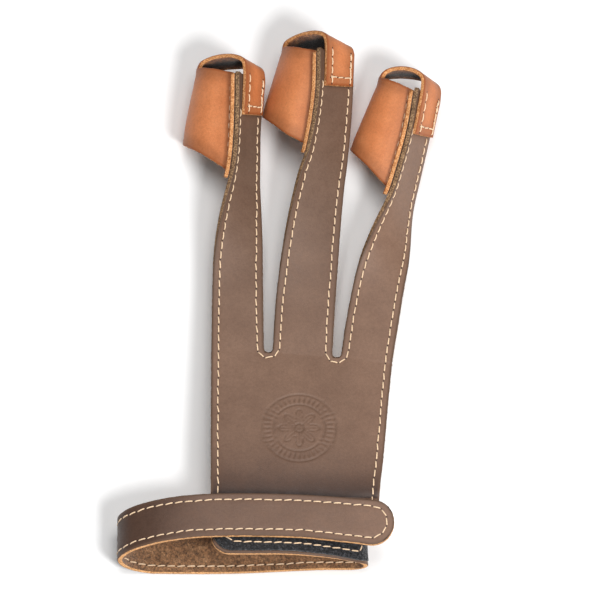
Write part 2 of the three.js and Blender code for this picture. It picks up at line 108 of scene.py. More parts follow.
# Finger straps: along as a share of the finger's length, across as a share of the hand's width,
# height as a share of TIP_HEIGHT, width as a share of the finger's width, the roll about the
# strap's length and the flare that lifts its left margin.
STRAPS = [[
    (0.0, -0.345, 0.773, 1.0, 0, 0),
    (0.19, -0.346, 0.72, 0.97, 0, 0),
    (0.33, -0.344, 0.71, 0.945, 8, 6),
    (0.47, -0.333, 0.76, 0.92, 29, 16),
    (0.61, -0.314, 0.83, 0.897, 50, 25),
    (0.69, -0.305, 0.885, 0.888, 55, 30),
    (0.83, -0.297, 0.97, 0.879, 57, 30),
    (1.0, -0.283, 1.075, 0.869, 53, 22),
], [
    (0.0, 0.0126, 0.773, 1.0, 0, 0),
    (0.18, 0.031, 0.76, 0.994, 0, 0),
    (0.31, 0.053, 0.8, 0.965, 6, 5),
    (0.43, 0.078, 0.88, 0.924, 16, 12),
    (0.56, 0.114, 0.985, 0.878, 27, 20),
    (0.65, 0.148, 1.063, 0.845, 36, 28),
    (0.82, 0.184, 1.153, 0.825, 42, 30),
    (1.0, 0.197, 1.248, 0.808, 40, 22),
], [
    (0.0, 0.367, 0.773, 1.0, 0, 0),
    (0.15, 0.402, 0.73, 1.01, 0, 0),
    (0.3, 0.443, 0.71, 0.98, 4, 4),
    (0.44, 0.495, 0.72, 0.952, 32, 14),
    (0.59, 0.553, 0.7, 0.915, 58, 24),
    (0.73, 0.609, 0.74, 0.895, 63, 28),
    (0.85, 0.655, 0.82, 0.881, 64, 28),
    (1.0, 0.702, 0.955, 0.867, 62, 20),
]]
ALONG, ACROSS, HEIGHT, WIDTH, ROLL, FLARE = range(6)

# Finger stalls: the seam, the pad and the strap's cut end are measured back from the finger's
# tip as shares of its length, so are the root and crest of the fold-over band beyond it. Skew is
# how much lower the crest is on the right. The tab's width, the belly, and at mouth and tip the
# tube's half width, depth and sideways lean are shares of the finger's width.
STALLS = [
    dict(seam_end=0.392, seam_top=0.024, pad_mouth=0.232, pad_root=0.028, cut=0.016, crest=0.058,
         shoulder=0.004, skew=0.3, tab=0.61, belly=0, mouth=(0.52, 0.75, -0.02),
         tip=(0.44, 0.6, -0.02)),
    dict(seam_end=0.372, seam_top=0.04, pad_mouth=0.205, pad_root=0.014, cut=0.027, crest=0.041,
         shoulder=-0.006, skew=0.9, tab=0.602, belly=0.02, mouth=(0.53, 0.8, -0.2),
         tip=(0.41, 0.55, -0.09)),
    dict(seam_end=0.41, seam_top=0.02, pad_mouth=0.24, pad_root=0.03, cut=0.006, crest=0.066,
         shoulder=0.01, skew=0.1, tab=0.695, belly=0.045, mouth=(0.5, 0.7, -0.05),
         tip=(0.43, 0.53, -0.02)),
]

# Panel: along as a share of PALM_LENGTH, left and right edges as shares of the hand's width,
# lift from the slots' height (0) to the wrist's (1), and crown as a share of CROWN_HEIGHT.
PANEL = [
    (0.0, -0.4905, 0.418, 1, 0),
    (0.23, -0.49, 0.432, 1, 0),
    (0.34, -0.489, 0.44, 0.93, 0.4),
    (0.52, -0.4905, 0.461, 0.7, 0.8),
    (0.78, -0.4905, 0.486, 0.3, 0.6),
    (1.0, -0.4905, 0.5095, 0, 0),
]
LEFT, RIGHT, LIFT, CROWN = 1, 2, 3, 4

# Wrist strap beyond the right bend: x as a share of LOOP_LEFT (negative) or FRONT_REACH, z as a
# share of the front run's height, y of the strap's middle and its width as shares of STRAP_WIDTH.
LOOP = [
    (0.2, 0, 0.568, 1),
    (-0.1, 0, 0.53, 1),
    (-0.35, 0, 0.485, 1),
    (-0.6, 0, 0.475, 1),
    (-0.82, 0, 0.485, 1),
    (-0.955, 0.19, 0.5, 1),
    (-1.0, 0.47, 0.53, 1),
    (-0.95, 0.73, 0.58, 1),
    (-0.82, 0.9, 0.68, 1),
    (-0.62, 0.99, 0.77, 1),
    (-0.4, 1.0, 0.81, 1),
    (0.0, 1.0, 0.78, 1),
    (0.5, 1.0, 0.69, 1.03),
    (1.0, 1.0, 0.57, 1.08),
]


def ease(t):
    t = np.clip(t, 0, 1)
    return t * t * (3 - 2 * t)


def lerp(a, b, t):
    return a + (b - a) * t


def unit(v):
    return v / np.maximum(np.linalg.norm(v, axis=-1, keepdims=True), 1e-12)


def column(values):
    """Numbers as one more axis, so that they scale vectors."""
    return np.asarray(values, float)[..., None]


def stacked(*parts):
    """Coordinates, or corners of faces, side by side along a last axis."""
    return np.stack(parts, axis=-1)


def floats(*values):
    return np.broadcast_arrays(*(np.asarray(value, float) for value in values))


def steps_to_one(count):
    return np.linspace(0, 1, count + 1)[1:]


def run_along(points):
    """Distance run along a line, at each of its points."""
    return np.concatenate([[0], np.cumsum(np.linalg.norm(np.diff(points, axis=0), axis=1))])


# Direction in which the finger straps' roots lie side by side.
CROTCH_ROW = unit(np.array([1, CROTCH_SLOPE, 0]))


def read(table, key, name, at):
    """Smooth curve through one column of a table, read at values of its key column."""
    rows = np.array(table, float)
    keys, values = rows[:, key], rows[:, name]
    at = np.asarray(at, float)
    last = len(keys) - 1
    i = np.clip(np.searchsorted(keys, at, side="left") - 1, 0, last - 1)
    before, after = np.maximum(i - 1, 0), np.minimum(i + 2, last)
    span = keys[i + 1] - keys[i]
    t = (at - keys[i]) / span
    slope_a = (values[i + 1] - values[before]) / (keys[i + 1] - keys[before])
    slope_b = (values[after] - values[i]) / (keys[after] - keys[i])
    t2, t3 = t * t, t * t * t
    inside = ((2 * t3 - 3 * t2 + 1) * values[i] + (t3 - 2 * t2 + t) * span * slope_a
              + (3 * t2 - 2 * t3) * values[i + 1] + (t3 - t2) * span * slope_b)
    return np.where(t > 1, values[i + 1] + slope_b * (at - keys[i + 1]), inside)


def spline(points, t):
    """Centripetal Catmull-Rom curve. points is (curves, n, size), t is (curves,) from 0 to 1."""
    count = points.shape[1]
    rows = np.arange(points.shape[0])
    place = np.clip(t, 0, 1) * (count - 1)
    i = np.minimum(np.floor(place).astype(int), count - 2)
    w = (place - i)[:, None]
    padded = np.concatenate([
        2 * points[:, :1] - points[:, 1:2], points, 2 * points[:, -1:] - points[:, -2:-1],
    ], axis=1)
    p0, p1, p2, p3 = (padded[rows, i + k] for k in range(4))
    gap = lambda a, b: (np.sum((b - a) ** 2, axis=1, keepdims=True)) ** 0.25
    d0, d1, d2 = gap(p0, p1), gap(p1, p2), gap(p2, p3)
    d1 = np.where(d1 < 1e-4, 1, d1)
    d0 = np.where(d0 < 1e-4, d1, d0)
    d2 = np.where(d2 < 1e-4, d1, d2)
    t1 = ((p1 - p0) / d0 - (p2 - p0) / (d0 + d1) + (p2 - p1) / d1) * d1
    t2 = ((p2 - p1) / d1 - (p3 - p1) / (d1 + d2) + (p3 - p2) / d2) * d1
    c2 = -3 * p1 + 3 * p2 - 2 * t1 - t2
    c3 = 2 * p1 - 2 * p2 + t1 + t2
    return p1 + t1 * w + c2 * w ** 2 + c3 * w ** 3


class Frames:
    """A strap's own axes at some distances along it. place takes p across and q out of it."""

    def __init__(self, origin, tangent, side, face, width, flare=0.0):
        self.origin, self.tangent, self.side, self.face = origin, tangent, side, face
        self.width, self.flare = width, flare

    def place(self, p, q=0.0):
        return self.origin + column(p) * self.side + column(q) * self.face


def strap_centre(f, distance):
    at = distance / FINGER_LENGTH[f]
    x = read(STRAPS[f], ALONG, ACROSS, at) * HAND_WIDTH
    z = read(STRAPS[f], ALONG, HEIGHT, at) * TIP_HEIGHT
    return stacked(x, PALM_LENGTH + CROTCH_SLOPE * x + distance, z)


def strap_frames(f, distance):
    distance = np.asarray(distance, float)
    at = distance / FINGER_LENGTH[f]
    tangent = unit(strap_centre(f, distance + 1) - strap_centre(f, distance - 1))
    level = unit(np.cross(tangent, [0, 0, 1]))
    flat = unit(lerp(CROTCH_ROW, level, column(ease(at / LEVEL_SHARE))))
    up = unit(np.cross(flat, tangent))
    roll = column(np.radians(read(STRAPS[f], ALONG, ROLL, at)))
    side = flat * np.cos(roll) - up * np.sin(roll)
    face = flat * np.sin(roll) + up * np.cos(roll)
    return Frames(strap_centre(f, distance), tangent, side, face,
                  FINGER_WIDTH[f] * read(STRAPS[f], ALONG, WIDTH, at),
                  np.radians(read(STRAPS[f], ALONG, FLARE, at)))


def strap_edges(f, distance):
    """Left and right edge of a strap. The slots between the straps end in half a circle."""
    distance = np.asarray(distance, float)
    frames = strap_frames(f, distance)
    t = np.clip(1 - np.maximum(distance, 0) / SLOT_RADIUS, 0, 1)
    wide = SLOT_RADIUS * (1 - np.sqrt(np.maximum(1 - t ** 2, 0)))
    left = -frames.width / 2 - (wide if f > 0 else 0)
    right = frames.width / 2 + (wide if f < 2 else 0)
    return frames, left, right


def strap_point(f, distance, p):
    """Point of the strap's middle surface at p across; the left margin flares up."""
    frames, left, _ = strap_edges(f, distance)
    margin = left + STITCH_MARGIN
    beyond = np.maximum(margin - p, 0)
    across = np.where(p >= margin, p, margin - beyond * np.cos(frames.flare))
    return frames.place(across, beyond * np.sin(frames.flare))


def bend_fade(along):
    return 1 - ease((along - STRAP_WIDTH) / (0.5 * STRAP_WIDTH))


def bend_at(along):
    """Right bend's start, droop, first angle and radius, at a distance from the wrist edge."""
    tight = np.maximum(1 - along / STRAP_WIDTH, 0) ** 1.5
    start = lerp(BEND_START, TIGHT_START, tight)
    droop = WRIST_DROOP * tight
    angle = np.arctan(2 * droop / (start - DROOP_START))
    radius = (WRIST_HEIGHT - droop) / (1 + np.cos(angle)) / np.maximum(bend_fade(along), 0.01)
    return start, droop, angle, radius


def panel_point(run, along):
    """Point of the panel's middle surface, at run across from the middle and along the hand."""
    run, along = floats(run, along)
    share = along / PALM_LENGTH
    low = HAND_LEATHER / 2
    base = low + lerp(CROTCH_HEIGHT - low, WRIST_HEIGHT, read(PANEL, ALONG, LIFT, share))
    start, droop, angle, radius = bend_at(along)
    sink = np.maximum((np.minimum(run, start) - DROOP_START) / (start - DROOP_START), 0) ** 2
    beyond = np.maximum(run - start, 0)
    turn = np.minimum(angle + beyond / radius, np.pi)
    flat = np.maximum(beyond - (np.pi - angle) * radius, 0)
    bent = start + radius * (np.sin(turn) - np.sin(angle)) - flat
    x = np.where(run > start, bent, run)
    z = base - droop * sink - radius * (np.cos(angle) - np.cos(turn))
    left, right = panel_edges(along)
    across = (run - left) / (right - left)
    crown = read(PANEL, ALONG, CROWN, share) * CROWN_HEIGHT
    arch = np.where((across > 0) & (across < 1), crown * (1 - (2 * across - 1) ** 2), 0)
    shift = FOLD_SHIFT * bend_fade(along) * ease((turn - angle) / (np.pi - angle))
    return stacked(x, along + share * CROTCH_SLOPE * x + shift, z + arch)


def joint_run(along):
    """Run at which the strap under the wrist takes over from the panel."""
    start, _, angle, radius = bend_at(along)
    return start + (np.pi - angle) * radius + start - radius * np.sin(angle) - JOINT_X


def panel_edge(name, along):
    return read(PANEL, ALONG, name, np.asarray(along, float) / PALM_LENGTH) * HAND_WIDTH


def panel_edges(along):
    return panel_edge(LEFT, along), panel_edge(RIGHT, along)


def panel_line(run, along):
    """Points of the panel's middle surface, and its normals there."""
    run, along = floats(run, along)
    du = panel_point(run + NEAR, along) - panel_point(run - NEAR, along)
    dv = panel_point(run, along + NEAR) - panel_point(run, along - NEAR)
    return panel_point(run, along), unit(np.cross(du, dv))


def wrist_cut(inside):
    """How far the rounded wrist corner cuts into the panel, at a distance in from its edge."""
    rest = CORNER_RADIUS - np.minimum(inside, CORNER_RADIUS)
    return CORNER_RADIUS - np.sqrt(np.maximum(CORNER_RADIUS ** 2 - rest ** 2, 0))


def loop_path():
    """Points of the wrist strap's middle line, each with the strap's share of width."""
    low = HAND_LEATHER / 2
    points = [(JOINT_X, STRAP_WIDTH / 2 + FOLD_SHIFT, low, 1)]
    for x, z, y, width in LOOP:
        points.append((x * (LOOP_LEFT if x < 0 else FRONT_REACH), y * STRAP_WIDTH,
                       low + z * (FRONT_HEIGHT - low + HAND_LEATHER / 2), width))
    return np.array(points, float)


LOOP_POINTS = loop_path()
LOOP_FINE = np.linspace(0, 1, 601)


def on_loop(t):
    t = np.atleast_1d(t)
    return spline(np.repeat(LOOP_POINTS[None, :, :3], len(t), axis=0), t)


LOOP_RUN = run_along(on_loop(LOOP_FINE))
LOOP_LENGTH = LOOP_RUN[-1]
ROUND_END = LOOP_LENGTH - STRAP_WIDTH / 2


def loop_point(at):
    """Point at a share of the loop's length. The palm run lies flat on the surface below."""
    points = on_loop(np.interp(np.clip(at, 0, 1) * LOOP_LENGTH, LOOP_RUN, LOOP_FINE))
    points[:, 2] = np.maximum(points[:, 2], HAND_LEATHER / 2)
    return points


def loop_frames(distance):
    at = np.clip(np.atleast_1d(distance) / LOOP_LENGTH, 0, 1)
    tangent = unit(loop_point(at + NEAR_SHARE) - loop_point(at - NEAR_SHARE))
    face = unit(np.cross(tangent, [0, 1, 0]))
    side = unit(np.cross(face, tangent))
    place = np.interp(at * LOOP_LENGTH, LOOP_RUN, LOOP_FINE) * (len(LOOP_POINTS) - 1)
    i = np.minimum(np.floor(place).astype(int), len(LOOP_POINTS) - 2)
    broad = lerp(LOOP_POINTS[i, 3], LOOP_POINTS[i + 1, 3], ease(place - i))
    return Frames(loop_point(at), tangent, side, face, STRAP_WIDTH * broad)


def stall_point(f, section, rise):
    """Point of a stall's middle surface: section from left to right rim, rise from mouth to tip."""
    shape, length, width = STALLS[f], FINGER_LENGTH[f], FINGER_WIDTH[f]
    section, rise = floats(section, rise)
    form = section.shape
    section, rise = section.ravel(), rise.ravel()
    dip = np.maximum(np.sin(np.pi * section), 0) ** PAD_FULLNESS
    start = -length * lerp(shape["seam_end"], shape["pad_mouth"], dip)
    end = length * lerp(-shape["seam_top"], shape["pad_root"], dip)
    distance = length + lerp(start, end, rise)
    frames = strap_frames(f, distance)
    along = np.clip(1 + (distance - length) / (length * shape["seam_end"]), 0, 1)
    half, centre, lean = (width * lerp(shape["mouth"][k], shape["tip"][k], along) for k in range(3))
    belly = shape["belly"] * width * np.sin(np.pi * along)
    centre, lean = centre + belly / 2, lean - belly
    step = HAND_LEATHER / 2 + SEAM_GAP + STALL_LEATHER / 2
    depth = centre - step / 2
    seam = frames.width / 2 - STITCH_MARGIN
    sine, cosine = np.sin(frames.flare), np.cos(frames.flare)
    inward = stacked(-sine, -cosine) * step
    level = np.zeros_like(seam)
    points = [
        stacked(-seam - STITCH_MARGIN * cosine, STITCH_MARGIN * sine) + inward,
        stacked(-seam, level) + inward,
    ]
    for turn in np.radians(np.arange(TUBE_FROM, TUBE_TO + 0.01, TUBE_STEP)):
        points.append(stacked(lean + half * np.cos(turn), -centre + depth * np.sin(turn)))
    points += [stacked(seam, level - step), stacked(frames.width / 2, level - step)]
    at = spline(np.stack(points, axis=1), section)
    return frames.place(at[:, 0], at[:, 1]).reshape(form + (3,))


def band_point(f, share, rise):
    """Point of the fold-over band: share across from -0.5 to 0.5, rise from pad to tab's end."""
    shape, length, columns = STALLS[f], FINGER_LENGTH[f], STALL_COLUMNS[BAND]
    tip = strap_frames(f, np.array([float(length)]))
    outer = HAND_LEATHER / 2 + CLEARANCE + STALL_LEATHER / 2
    axes = stacked(tip.side[0], tip.face[0], tip.tangent[0])
    local = lambda points: (points - tip.origin[0]) @ axes
    deepest = local(stall_point(f, columns, np.ones_like(columns)))[:, 1].min()
    section = lerp(columns[0], columns[-1], share + 0.5)
    root = local(stall_point(f, section, np.ones_like(section)))
    p = (STITCH_MARGIN - CLEARANCE) / 4 + share * FINGER_WIDTH[f] * shape["tab"]
    soft = root[:, 1] - deepest
    crest = length * shape["crest"] * (1 - shape["skew"] * (share + 0.5))
    shoulder = length * shape["shoulder"]
    path = [root]
    for turn in np.radians(ARCH_TURNS):
        over = (1 - math.cos(turn)) / 2
        base = lerp(root[:, 2], shoulder, over)
        path.append(stacked(
            lerp(root[:, 0], p, over),
            lerp(deepest, outer, over) + soft * (1 - over) ** 2,
            base + (crest - base) * math.sin(turn) ** ARCH_FULLNESS,
        ))
    full = np.full_like(p, 1.0)
    reach = TAB_LENGTH - share * TAB_SLANT
    for z in (full * (shoulder - STALL_LEATHER), -0.5 * reach, -reach):
        path.append(stacked(p, full * outer, z))
    path = np.stack(path, axis=1)
    at = spline(path, rise)
    free = tip.origin[0] + at @ axes.T
    on_strap = strap_frames(f, length + at[:, 2]).place(at[:, 0], at[:, 1])
    return np.where(at[:, 2:] >= 0, free, on_strap)


class Sheet:
    """Points of a leather's middle surface, joined by cells that turn left on the grain side."""

    def __init__(self):
        self.points = np.zeros((0, 3))
        self.cells = []

    def add(self, grid):
        """Adds a grid of points and returns its point numbers."""
        start = len(self.points)
        self.points = np.concatenate([self.points, grid.reshape(-1, 3)])
        return np.arange(start, len(self.points)).reshape(grid.shape[:-1])

    def join(self, rows):
        rows = np.asarray(rows)
        cells = stacked(rows[:-1, :-1], rows[:-1, 1:], rows[1:, 1:], rows[1:, :-1])
        self.cells.append(cells.reshape(-1, 4))

    def finish(self):
        """Works out normals, the rim, the way out of it and the distance to it."""
        self.cells = np.concatenate(self.cells)
        a, b, c, d = (self.points[self.cells[:, k]] for k in range(4))
        across = np.cross(c - a, d - b)
        self.normals = np.zeros_like(self.points)
        for k in range(4):
            np.add.at(self.normals, self.cells[:, k], across)
        self.normals = unit(self.normals)
        sides = np.concatenate([self.cells[:, [k, (k + 1) % 4]] for k in range(4)])
        size = len(self.points)
        forth = sides[:, 0] * size + sides[:, 1]
        back = sides[:, 1] * size + sides[:, 0]
        self.open = sides[~np.isin(forth, back)]
        self.rim = np.unique(self.open)
        run = np.zeros_like(self.points)
        steps = self.points[self.open[:, 1]] - self.points[self.open[:, 0]]
        for k in range(2):
            np.add.at(run, self.open[:, k], steps)
        self.out = np.zeros_like(self.points)
        self.out[self.rim] = unit(np.cross(run[self.rim], self.normals[self.rim]))
        tree = KDTree(len(self.rim) * 2)
        ends = self.points[self.open]
        for i, spot in enumerate(np.concatenate([ends[:, 0], ends.mean(axis=1)])):
            tree.insert(spot, i)
        tree.balance()
        self.inside = np.array([tree.find(p)[2] for p in self.points])
        self.pressed = np.zeros(size)
        return self


# Where the glove's millimetres lie in the shared frame.
strap_low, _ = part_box("wrist_strap")
panel_low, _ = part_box("back_panel")
OFFSET = np.array([strap_low[0] / MM + LOOP_LEFT + HAND_LEATHER / 2, panel_low[1] / MM, 0.0])


def to_frame(points):
    """Millimetres on the glove to metres in the shared frame."""
    return (np.asarray(points) + OFFSET) * MM


def put_in_scene(name, data):
    made = bpy.data.objects.new(name, data)
    bpy.context.scene.collection.objects.link(made)
    return made


def make_object(name, points, faces, materials, face_slots=None, values=None):
    """Mesh that rides on the glove. values are named numbers, one to a point."""
    mesh = bpy.data.meshes.new(name)
    mesh.from_pydata(to_frame(points).tolist(), [], faces.tolist())
    for material in materials:
        mesh.materials.append(material)
    if face_slots is not None:
        mesh.polygons.foreach_set("material_index", np.asarray(face_slots, np.int32))
    mesh.polygons.foreach_set("use_smooth", np.full(len(mesh.polygons), True))
    for key, numbers in (values or {}).items():
        layer = mesh.attributes.new(key, "FLOAT", "POINT")
        layer.data.foreach_set("value", np.asarray(numbers, np.float32))
    mesh.update()
    obj = put_in_scene(name, mesh)
    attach(obj, BODY)
    return obj


# Cut edge of leather: both corners are rounded, the grain side's more than the flesh side's. The
# first CORNER_LINES strips of the edge still have the grain's finish.
GRAIN_CORNER = 0.38
FLESH_CORNER = 0.2
CORNER_LINES = 2
EDGE_SEED = 3


def rim_profile(half):
    """How far out and how far up each line of the edge lies."""
    grain, flesh = GRAIN_CORNER, FLESH_CORNER
    return [
        (-grain, half),
        (-0.3 * grain, half - 0.25 * grain),
        (0, half - grain),
        (0.04, 0.25 * half),
        (0.04, -0.35 * half),
        (0, -half + flesh),
        (-0.3 * flesh, -half + 0.3 * flesh),
        (-flesh, -half),
    ]


def leather(name, sheet, thickness, materials, relief=None, ragged=0.05):
    """Closed piece of leather. materials are for its grain side, flesh side and cut edge."""
    half = thickness / 2
    points, normals = sheet.points, sheet.normals
    count = len(points)
    raised = np.zeros(count) if relief is None else relief(sheet)
    profile = rim_profile(half)
    grain = points + normals * column(half + raised) + sheet.out * profile[0][0]
    flesh = points - normals * half + sheet.out * profile[-1][0]
    rng = np.random.default_rng(EDGE_SEED)
    rims = []
    for inward, up in profile[1:-1]:
        rough = rng.normal(0, ragged, (len(sheet.rim), 1)) if abs(up) < half - 0.1 else 0
        here = column(up + raised[sheet.rim] * (up > 0))
        rims.append(points[sheet.rim] + sheet.normals[sheet.rim] * here
                    + sheet.out[sheet.rim] * (inward + rough))
    vertices = np.concatenate([grain, flesh] + rims)
    number = np.full(count, -1)
    number[sheet.rim] = np.arange(len(sheet.rim))
    lines = [np.arange(count)]
    lines += [2 * count + k * len(sheet.rim) + number for k in range(len(rims))]
    lines.append(count + np.arange(count))
    a, b = sheet.open[:, 0], sheet.open[:, 1]
    edge = np.concatenate([stacked(one[b], one[a], other[a], other[b])
                           for one, other in zip(lines, lines[1:])])
    faces = np.concatenate([sheet.cells, count + sheet.cells[:, ::-1], edge])
    corner = CORNER_LINES * len(sheet.open)
    sizes = [len(sheet.cells), len(sheet.cells), corner, len(edge) - corner]
    slots = np.repeat([0, 1, 0, 2], sizes)
    rim_zeros = np.zeros(len(rims) * len(sheet.rim))
    values = {
        "inside": np.concatenate([sheet.inside, sheet.inside, rim_zeros]),
        "pressed": np.concatenate([sheet.pressed, np.zeros(count), rim_zeros]),
    }
    return make_object(name, vertices, faces, materials, slots, values)


# Grids: their even steps, the finer lines beside a stitched edge, and the rows round the slots'
# ends, in the right bend and in the strap's round end.
MARGIN_LINES = [0, 0.9, 1.7, 2.3, 2.8, 3.3, 4.1, 5.2]
PLAIN_STEP = 0.95
ROOT_STEP = 0.7
EMBOSS_STEP = 0.4
SLOT_STATIONS = np.array([0.1, 0.3, 0.6, 1.0, 1.4]) * SLOT_RADIUS
BEND_ROWS = 55
END_ROWS = 13


def spaced(total, step):
    """Distances from 0 to total that crowd beside both stitched edges."""
    *margin, last = MARGIN_LINES
    count = max(int(round((total - 2 * last) / step)), 1)
    inner = np.linspace(last, total - last, count + 1)
    return np.concatenate([margin, inner, total - np.array(margin)[::-1]])


# Blind-stamped rosette in the middle of the panel.
EMBOSS_CENTRE = np.array([-0.4, 54.6])
EMBOSS_RADIUS = 15.0
EMBOSS_DEPTH = 0.36
EMBOSS_BORDER = 1
EMBOSS_RAYS = 40
PETAL_PAIRS = 4


def bump(value, width):
    return np.exp(-(value / width) ** 2)


def rosette(points):
    """Depth of the stamped ornament: two rings, a band of short rays and a flower of petals."""
    offset = points[:, :2] - EMBOSS_CENTRE
    radius = np.linalg.norm(offset, axis=1)
    turn = np.arctan2(offset[:, 1], offset[:, 0])
    rings = bump(radius - EMBOSS_RADIUS, 0.32) + bump(radius - 0.7 * EMBOSS_RADIUS, 0.3)
    rays = (bump(radius - 0.85 * EMBOSS_RADIUS, 0.09 * EMBOSS_RADIUS)
            * np.clip(2.4 * np.cos(EMBOSS_RAYS * turn) - 0.6, 0, 1))
    petal = 0.55 * EMBOSS_RADIUS * np.abs(np.cos(PETAL_PAIRS * turn)) ** 0.6
    petals = bump(radius - petal, 0.35) * (radius < 0.66 * EMBOSS_RADIUS)
    veins = (bump(np.sin(PETAL_PAIRS * turn) * radius * 0.25, 0.16)
             * (radius < 0.5 * EMBOSS_RADIUS))
    heart = bump(radius - 0.12 * EMBOSS_RADIUS, 0.3)
    return -EMBOSS_DEPTH * np.clip(rings + 0.8 * rays + petals + 0.6 * veins + heart, 0, 1)


def groove(inside, depth=0.13):
    """A stitched row pulls the leather in along its line."""
    return -depth * bump(inside - STITCH_MARGIN, 0.55)


def hand_relief(sheet):
    """Relief of the grain side. It also notes how hard each point is pressed."""
    relief = groove(sheet.inside)
    away = np.linalg.norm(sheet.points[:, :2] - EMBOSS_CENTRE, axis=1)
    flat = ((away < EMBOSS_RADIUS + 2 * EMBOSS_BORDER) & (sheet.normals[:, 2] > 0.8)
            & (sheet.points[:, 2] > WRIST_HEIGHT * 0.6))
    stamped = rosette(sheet.points[flat])
    relief[flat] += stamped
    sheet.pressed[flat] = stamped / -EMBOSS_DEPTH
    return relief


def panel_rows():
    """Distances of the panel's rows from the wrist edge. The first ones run on as the strap's."""
    strap = spaced(STRAP_WIDTH, PLAIN_STEP)
    low = EMBOSS_CENTRE[1] - EMBOSS_RADIUS - EMBOSS_BORDER
    high = EMBOSS_CENTRE[1] + EMBOSS_RADIUS + EMBOSS_BORDER
    even = lambda a, b, step: np.linspace(a, b, int(round((b - a) / step)) + 1)[1:]
    return strap, np.concatenate([
        strap,
        even(STRAP_WIDTH, low, PLAIN_STEP),
        even(low, high, EMBOSS_STEP),
        even(high, PALM_LENGTH, ROOT_STEP),
    ])


def hand_sheet():
    """The panel with its finger straps, the right bend and the wrist strap, as one sheet."""
    sheet = Sheet()
    columns, lineup = [], []
    for f in range(3):
        _, left, right = strap_edges(f, 0.0)
        step = EMBOSS_STEP if f == 1 else PLAIN_STEP * 0.8
        across = spaced(float(right - left), step) / float(right - left)
        row = strap_point(f, np.zeros(len(across)), lerp(left, right, across))
        columns.append(across)
        lineup.append(row if f == 0 else row[1:])
    lineup = np.concatenate(lineup)
    shares = (lineup[:, 0] - lineup[0, 0]) / (lineup[-1, 0] - lineup[0, 0])

    strap_rows, rows = panel_rows()
    fade = np.maximum(1 - rows / STRAP_WIDTH, 0)
    left, right = panel_edges(0.0)
    cut = wrist_cut((right - left) * shares)
    grid = []
    for row, part in zip(rows[:-1], fade):
        along = row + cut * part
        grid.append(panel_point(lerp(*panel_edges(along), shares), along))
    numbers = sheet.add(np.array(grid))
    top = sheet.add(lineup[None])
    numbers = np.concatenate([numbers, top])
    sheet.join(numbers)

    start = 0
    for f in range(3):
        size = len(columns[f])
        first = top[0, start:start + size]
        start += size - 1
        end = FINGER_LENGTH[f] * (1 - STALLS[f]["cut"])
        far = np.linspace(SLOT_STATIONS[-1], end, int(end) - 1)[1:]
        stations = []
        for distance in np.concatenate([SLOT_STATIONS, far]):
            _, left, right = strap_edges(f, distance)
            across = lerp(left, right, columns[f])
            stations.append(strap_point(f, np.full(size, distance), across))
        sheet.join(np.concatenate([first[None], sheet.add(np.array(stations))]))

    # Right bend, then the strap round under the wrist and over the panel to its round end.
    low = len(strap_rows)
    edge = numbers[:low, -1]
    bend = []
    for share in steps_to_one(BEND_ROWS):
        run = lerp(panel_edge(RIGHT, strap_rows), joint_run(strap_rows), share)
        bend.append(panel_point(run, strap_rows))
    joint = bend[-1]
    half = STRAP_WIDTH / 2
    across = strap_rows - half
    step_aside = joint - loop_frames(np.zeros(low)).place(across)
    for distance in np.linspace(0, ROUND_END, int(ROUND_END / PLAIN_STEP) + 1)[1:]:
        frames = loop_frames(np.full(low, distance))
        broad = frames.width[0] / STRAP_WIDTH
        aside = step_aside * (1 - ease(distance / STRAP_WIDTH))
        bend.append(frames.place(across * broad) + aside)
    for share in steps_to_one(END_ROWS):
        s = across / half
        frames = loop_frames(ROUND_END + half * share * np.sqrt(1 - s ** 2 / 2))
        bend.append(frames.place(s * np.sqrt(1 - share ** 2 / 2) * frames.width / 2))
    sheet.join(np.concatenate([edge[:, None], sheet.add(np.array(bend)).T], axis=1))
    return sheet.finish()


# Grid of a stall, and the columns that run on as its fold-over band.
STALL_COLUMNS = np.linspace(0, 1, 91)
STALL_ROWS = np.linspace(0, 1, 34)
BAND = slice(31, 47)
BAND_ROWS = 64


def stall_sheet(f):
    sheet = Sheet()
    numbers = sheet.add(stall_point(f, STALL_COLUMNS[None, :], STALL_ROWS[:, None]))
    sheet.join(numbers[:, ::-1])
    root = numbers[-1:, BAND]
    share = np.linspace(-0.5, 0.5, root.size)
    band = [band_point(f, share, np.full(root.size, rise)) for rise in steps_to_one(BAND_ROWS)]
    sheet.join(np.concatenate([root, sheet.add(np.array(band))])[:, ::-1])
    return sheet.finish()


def stall_relief(sheet):
    return groove(sheet.inside, 0.1)


def patch_points(across, along, offset):
    """Points of a layer on the panel, at across as a share of its width."""
    points, normals = panel_line(lerp(*panel_edges(along), across), along)
    return points + normals * offset


# Hook-and-loop patches: how far they stay from the leather's edges, where the hook patch starts
# as a share of the strap's length, and their grids.
PATCH_INSET = 1
PATCH_END = 4
HOOK_START = 0.62
LOOP_PATCH_GRID = (150, 36)
HOOK_PATCH_GRID = (170, 34)


def loop_patch_sheet():
    sheet = Sheet()
    offset = HAND_LEATHER / 2 + CLEARANCE + PATCH / 2
    left, right = panel_edges(0.0)
    run = np.linspace(left + PATCH_INSET, right - PATCH_END, LOOP_PATCH_GRID[0])
    share = np.linspace(0, 1, LOOP_PATCH_GRID[1])[:, None]
    low = wrist_cut(run - left - PATCH_INSET) + PATCH_INSET
    along = lerp(low[None, :], STRAP_WIDTH - PATCH_INSET, share)
    across = np.broadcast_to((run - left) / (right - left), along.shape)
    sheet.join(sheet.add(patch_points(across, along, offset)))
    return sheet.finish()


